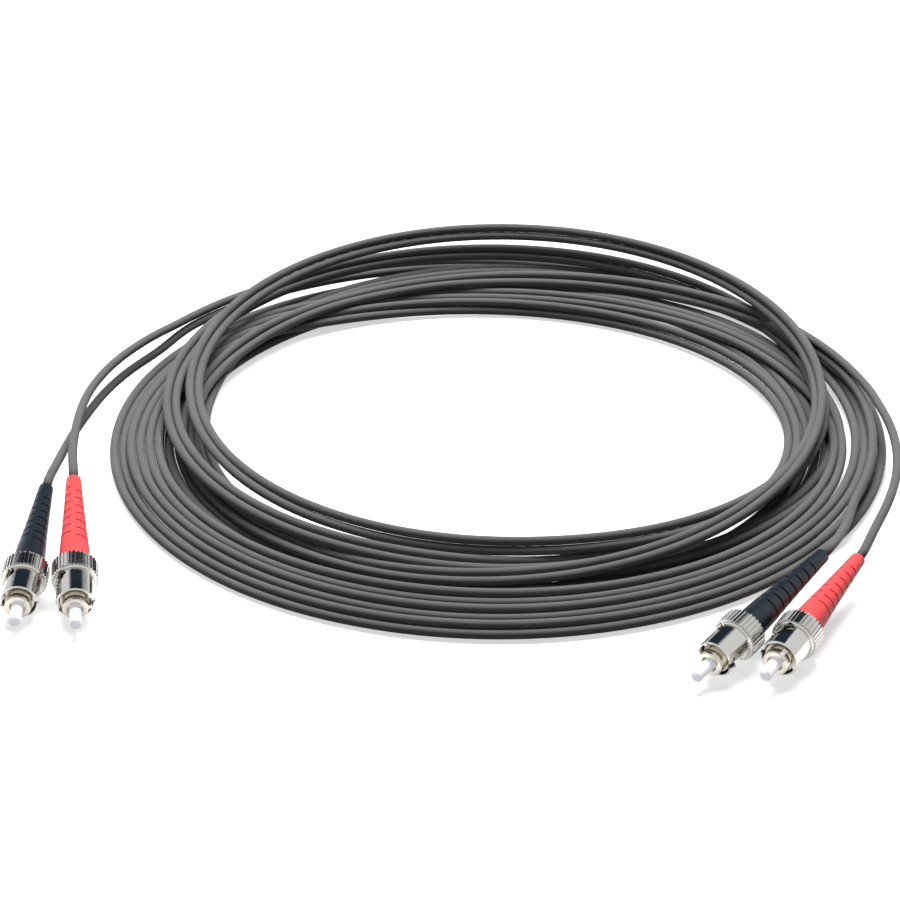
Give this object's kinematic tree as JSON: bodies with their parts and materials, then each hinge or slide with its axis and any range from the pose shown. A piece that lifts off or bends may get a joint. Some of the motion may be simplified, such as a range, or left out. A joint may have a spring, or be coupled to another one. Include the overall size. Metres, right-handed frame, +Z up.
{
  "type": "duplex fibre patch cord with st connectors",
  "caption": "Coiled twin fibre cord with a spring-loaded bayonet connector on each leg: ceramic ferrule, keyed barrel, knurled coupling nut and slit strain-relief boot.",
  "frame": {"origin": "centre of the four connectors' bounding box, on the surface that the object lies on", "axes": "+X runs from the left pair of connectors to the right pair, +Y from the connectors towards the coil, +Z up"},
  "size_m": [0.1906, 0.1942, 0.0134],
  "materials": {
    "nickel_plate": "bright nickel plate on turned brass",
    "spring_steel": "bright drawn steel",
    "ceramic": "polished white zirconia",
    "glass_fibre": "coated glass fibre",
    "boot_black": "satin moulded elastomer",
    "boot_red": "satin moulded elastomer",
    "cord_jacket": "matt extruded cord jacket",
    "aramid": "yellow aramid yarn"
  },
  "bodies": {
    "patch_cord": {"cord_coil": "cord_jacket", "cord_lead_left_black": "cord_jacket", "cord_lead_left_red": "cord_jacket", "cord_lead_right_black": "cord_jacket", "cord_lead_right_red": "cord_jacket", "ferrule_left_black": "ceramic", "fibre_left_black": "glass_fibre", "barrel_left_black": "nickel_plate", "spring_left_black": "spring_steel", "retaining_clip_left_black": "spring_steel", "crimp_sleeve_left_black": "spring_steel", "aramid_yarn_left_black": "aramid", "jacket_end_left_black": "cord_jacket", "boot_left_black": "boot_black", "ferrule_left_red": "ceramic", "fibre_left_red": "glass_fibre", "barrel_left_red": "nickel_plate", "spring_left_red": "spring_steel", "retaining_clip_left_red": "spring_steel", "crimp_sleeve_left_red": "spring_steel", "aramid_yarn_left_red": "aramid", "jacket_end_left_red": "cord_jacket", "boot_left_red": "boot_red", "ferrule_right_black": "ceramic", "fibre_right_black": "glass_fibre", "barrel_right_black": "nickel_plate", "spring_right_black": "spring_steel", "retaining_clip_right_black": "spring_steel", "crimp_sleeve_right_black": "spring_steel", "aramid_yarn_right_black": "aramid", "jacket_end_right_black": "cord_jacket", "boot_right_black": "boot_black", "ferrule_right_red": "ceramic", "fibre_right_red": "glass_fibre", "barrel_right_red": "nickel_plate", "spring_right_red": "spring_steel", "retaining_clip_right_red": "spring_steel", "crimp_sleeve_right_red": "spring_steel", "aramid_yarn_right_red": "aramid", "jacket_end_right_red": "cord_jacket", "boot_right_red": "boot_red"},
    "washer_left_black": {"thrust_washer_left_black": "spring_steel"},
    "nut_left_black": {"coupling_nut_left_black": "nickel_plate"},
    "washer_left_red": {"thrust_washer_left_red": "spring_steel"},
    "nut_left_red": {"coupling_nut_left_red": "nickel_plate"},
    "washer_right_black": {"thrust_washer_right_black": "spring_steel"},
    "nut_right_black": {"coupling_nut_right_black": "nickel_plate"},
    "washer_right_red": {"thrust_washer_right_red": "spring_steel"},
    "nut_right_red": {"coupling_nut_right_red": "nickel_plate"}
  },
  "joints": [
    {"name": "nut_push_left_black", "type": "slide", "parent": "patch_cord", "child": "washer_left_black", "axis": [-0.0173, -0.9924, -0.1219], "range_m": [0, 0.0025], "stiffness_N_per_m": 1000, "springref_m": -0.004, "deforming": ["spring_left_black"]},
    {"name": "nut_turn_left_black", "type": "hinge", "parent": "washer_left_black", "child": "nut_left_black", "pos_m": [-0.08382, 0.00212, 0.00554], "axis": [-0.0173, -0.9924, -0.1219], "continuous": true},
    {"name": "nut_push_left_red", "type": "slide", "parent": "patch_cord", "child": "washer_left_red", "axis": [0.1196, -0.9743, -0.1908], "range_m": [0, 0.0025], "stiffness_N_per_m": 1000, "springref_m": -0.004, "deforming": ["spring_left_red"]},
    {"name": "nut_turn_left_red", "type": "hinge", "parent": "washer_left_red", "child": "nut_left_red", "pos_m": [-0.07347, 0.00173, 0.00611], "axis": [0.1196, -0.9743, -0.1908], "continuous": true},
    {"name": "nut_push_right_black", "type": "slide", "parent": "patch_cord", "child": "washer_right_black", "axis": [-0.6081, -0.7783, -0.1564], "range_m": [0, 0.0025], "stiffness_N_per_m": 1000, "springref_m": -0.004, "deforming": ["spring_right_black"]},
    {"name": "nut_turn_right_black", "type": "hinge", "parent": "washer_right_black", "child": "nut_right_black", "pos_m": [0.06165, -0.01895, 0.00583], "axis": [-0.6081, -0.7783, -0.1564], "continuous": true},
    {"name": "nut_push_right_red", "type": "slide", "parent": "patch_cord", "child": "washer_right_red", "axis": [-0.4836, -0.8725, -0.0698], "range_m": [0, 0.0025], "stiffness_N_per_m": 1000, "springref_m": -0.004, "deforming": ["spring_right_red"]},
    {"name": "nut_turn_right_red", "type": "hinge", "parent": "washer_right_red", "child": "nut_right_red", "pos_m": [0.07323, -0.01825, 0.00541], "axis": [-0.4836, -0.8725, -0.0698], "continuous": true}
  ]
}
